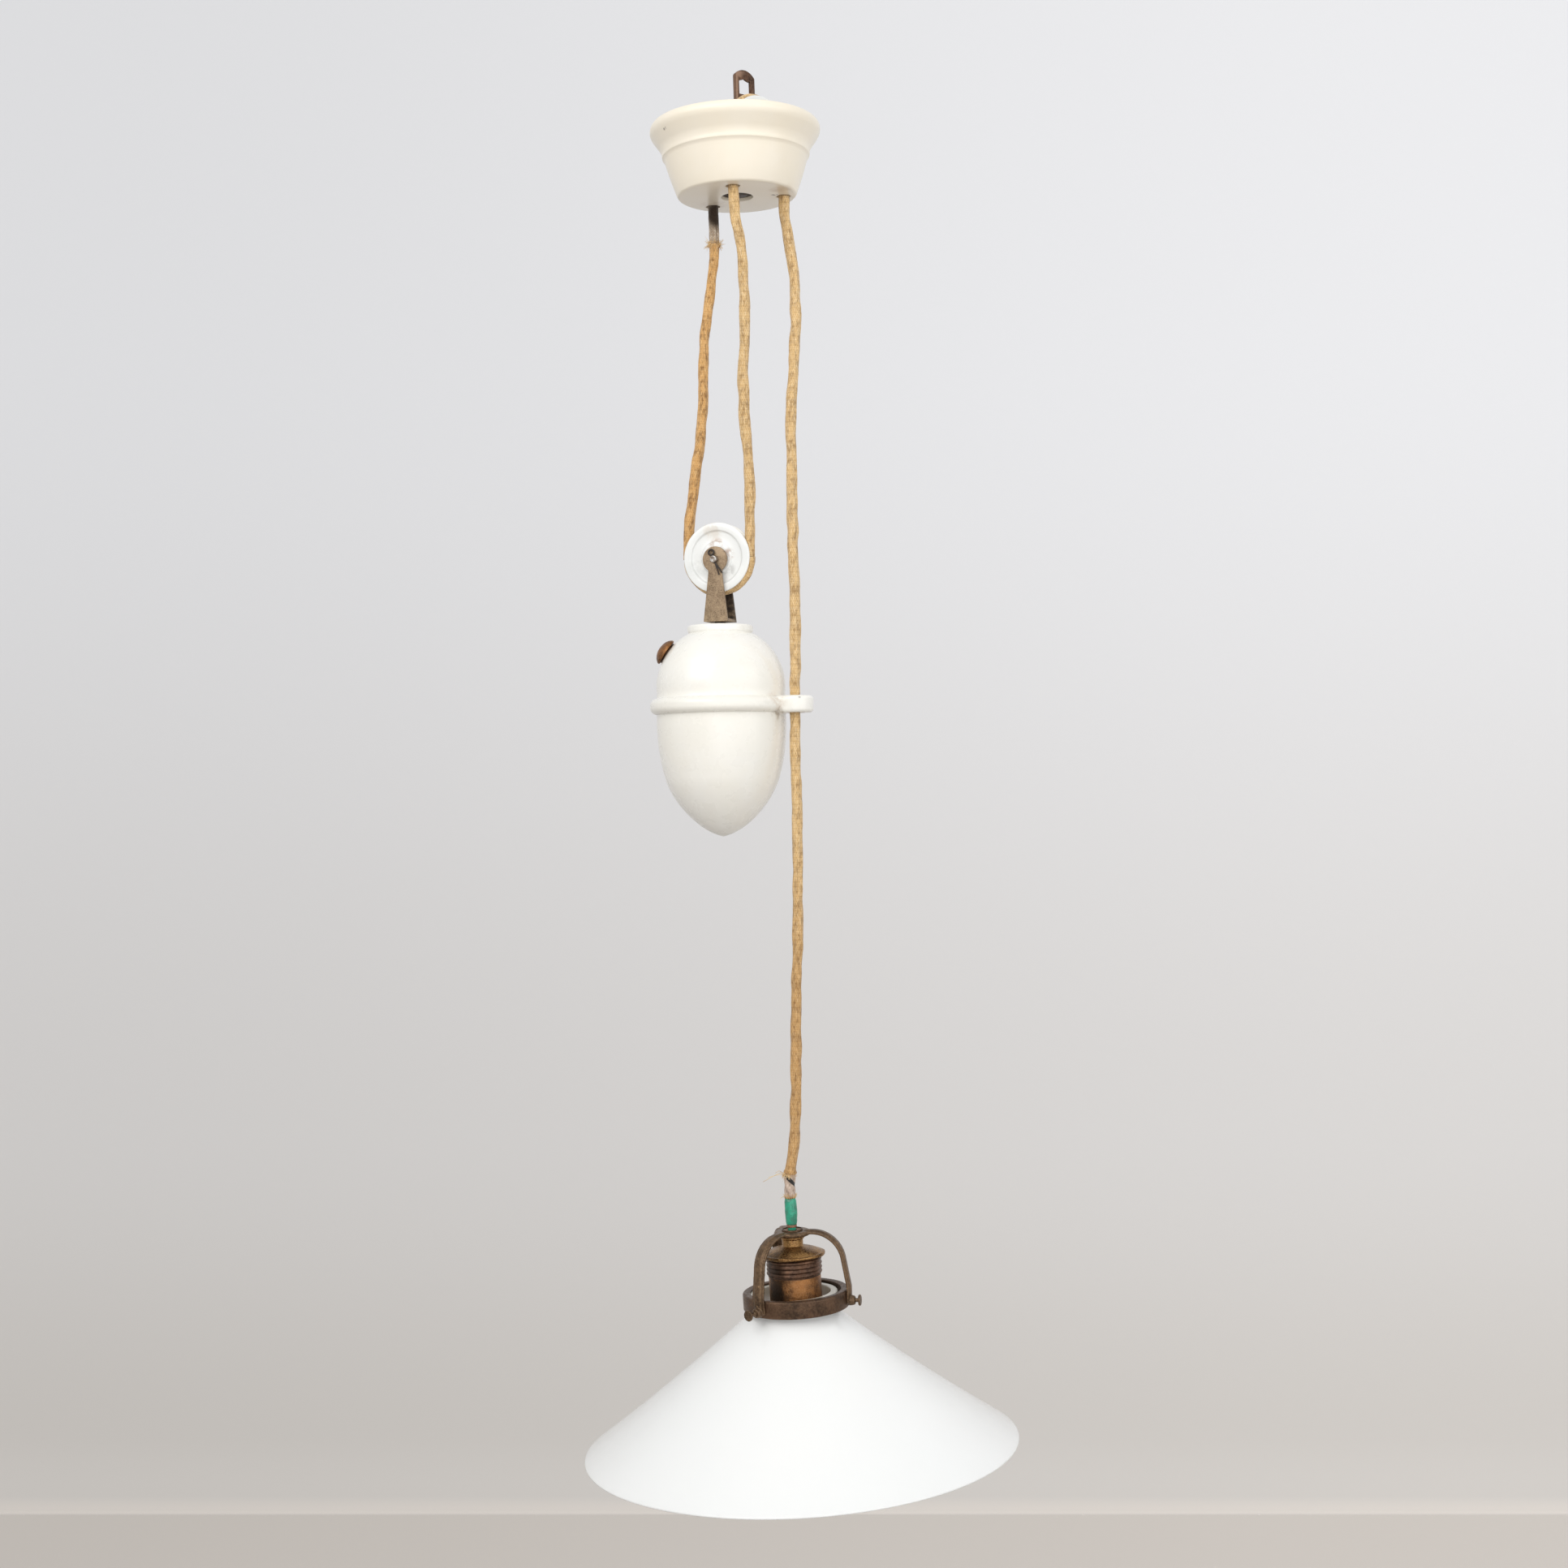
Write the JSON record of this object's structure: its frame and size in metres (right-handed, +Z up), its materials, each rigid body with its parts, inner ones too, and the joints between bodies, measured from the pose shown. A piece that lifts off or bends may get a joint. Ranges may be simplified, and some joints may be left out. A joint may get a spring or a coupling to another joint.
{
  "type": "rise and fall pendant",
  "caption": "Hanging lamp whose conical opal glass shade is raised and lowered on a textile cord, balanced by a bulbous porcelain weight below a porcelain canopy.",
  "frame": {"origin": "bearing point at the top of the hanging strap's window, where the ceiling hook carries the lamp", "axes": "+Z up along the hanging direction, +X to the picture's right, +Y away from the camera"},
  "size_m": [0.2993, 0.2998, 0.9616],
  "materials": {
    "porcelain_cream": "gloss",
    "porcelain_ivory": "gloss",
    "porcelain_white": "gloss",
    "porcelain_plain": "satin",
    "opal_glass": "gloss",
    "aged_brass": "satin",
    "dark_brass": "satin",
    "coppery_brass": "satin",
    "worn_steel": "satin",
    "dark_steel": "satin",
    "cord_textile": "matt",
    "iron_shot": "matt",
    "green_plastic": "gloss",
    "brown_plastic": "gloss",
    "wire_insulation": "matt"
  },
  "bodies": {
    "ceiling_assembly": {"canopy": "porcelain_cream", "hanging_strap": "coppery_brass", "pulley_bracket": "aged_brass", "central_bolt": "dark_steel", "central_nut": "worn_steel", "central_washer": "worn_steel", "canopy_axle": "worn_steel", "canopy_split_pin": "dark_steel", "cord_clamp": "aged_brass", "clamp_screw_1": "worn_steel", "clamp_screw_2": "worn_steel", "terminal_block": "porcelain_plain", "terminal_screw_1": "aged_brass", "terminal_screw_2": "aged_brass", "lead_wire_1": "wire_insulation", "lead_wire_2": "wire_insulation", "cord_anchor_fall": "cord_textile", "cord_return_fall": "cord_textile", "cord_lamp_fall": "cord_textile", "cord_canopy_turn": "cord_textile"},
    "canopy_pulley_body": {"canopy_pulley": "porcelain_white"},
    "weight_assembly": {"weight_shell": "porcelain_ivory", "filler_bush": "dark_brass", "shot_filling": "iron_shot", "weight_yoke": "aged_brass", "yoke_collar": "dark_brass", "yoke_bolt": "dark_steel", "yoke_washer": "worn_steel", "yoke_nut": "worn_steel", "weight_axle": "worn_steel", "weight_split_pin": "dark_steel", "axle_washer_front": "worn_steel", "axle_washer_rear": "worn_steel", "cord_pulley_wrap": "cord_textile"},
    "weight_pulley_body": {"weight_pulley": "porcelain_white"},
    "filler_plug_body": {"filler_plug": "dark_brass"},
    "lamp_assembly": {"gallery_spider": "dark_brass", "gallery_ring": "dark_brass", "cord_sleeve": "green_plastic", "sleeve_band": "brown_plastic", "hub_nipple": "aged_brass", "nipple_ring": "dark_brass", "nipple_nut": "dark_brass", "holder_cap": "aged_brass", "holder_shell": "dark_brass", "holder_barrel": "coppery_brass", "socket_insert": "porcelain_plain", "screw_shell": "aged_brass", "centre_contact": "aged_brass", "wire_screw_1": "aged_brass", "wire_screw_2": "aged_brass", "glass_shade": "opal_glass"},
    "thumbscrew_1_body": {"thumbscrew_1": "dark_brass"},
    "thumbscrew_2_body": {"thumbscrew_2": "dark_brass"},
    "thumbscrew_3_body": {"thumbscrew_3": "dark_brass"}
  },
  "joints": [
    {"name": "lamp_height", "type": "slide", "parent": "ceiling_assembly", "child": "lamp_assembly", "axis": [0, 0, 1], "range_m": [-0.32, 0.17], "deforming": ["cord_lamp_fall"]},
    {"name": "weight_height", "type": "slide", "parent": "ceiling_assembly", "child": "weight_assembly", "axis": [0, 0, 1], "range_m": [-0.0855, 0.1605], "deforming": ["cord_anchor_fall", "cord_return_fall"]},
    {"name": "weight_pulley_spin", "type": "hinge", "parent": "weight_assembly", "child": "weight_pulley_body", "pos_m": [-0.0172, 0.0075, -0.3321], "axis": [0.342, 0.9397, 0.0052], "range_deg": [-404, 216]},
    {"name": "canopy_pulley_spin", "type": "hinge", "parent": "ceiling_assembly", "child": "canopy_pulley_body", "pos_m": [0.00904, -0.01053, -0.04082], "axis": [0.6491, -0.7604, 0.0215], "range_deg": [-806, 430]},
    {"name": "filler_plug_travel", "type": "slide", "parent": "weight_assembly", "child": "filler_plug_body", "axis": [-0.8326, 0, 0.5538], "range_m": [0, 0.015]},
    {"name": "thumbscrew_1_travel", "type": "slide", "parent": "lamp_assembly", "child": "thumbscrew_1_body", "axis": [0.9742, -0.2181, 0.0579], "range_m": [0, 0.006]},
    {"name": "thumbscrew_2_travel", "type": "slide", "parent": "lamp_assembly", "child": "thumbscrew_2_body", "axis": [-0.2985, 0.9542, -0.0177], "range_m": [0, 0.006]},
    {"name": "thumbscrew_3_travel", "type": "slide", "parent": "lamp_assembly", "child": "thumbscrew_3_body", "axis": [-0.6757, -0.7361, -0.0401], "range_m": [0, 0.006]}
  ],
  "couplings": [
    {"joint": "weight_height", "follows": "lamp_height", "ratio": -0.5},
    {"joint": "weight_pulley_spin", "follows": "lamp_height", "rad_per_m": 21.93},
    {"joint": "canopy_pulley_spin", "follows": "lamp_height", "rad_per_m": 43.86}
  ]
}
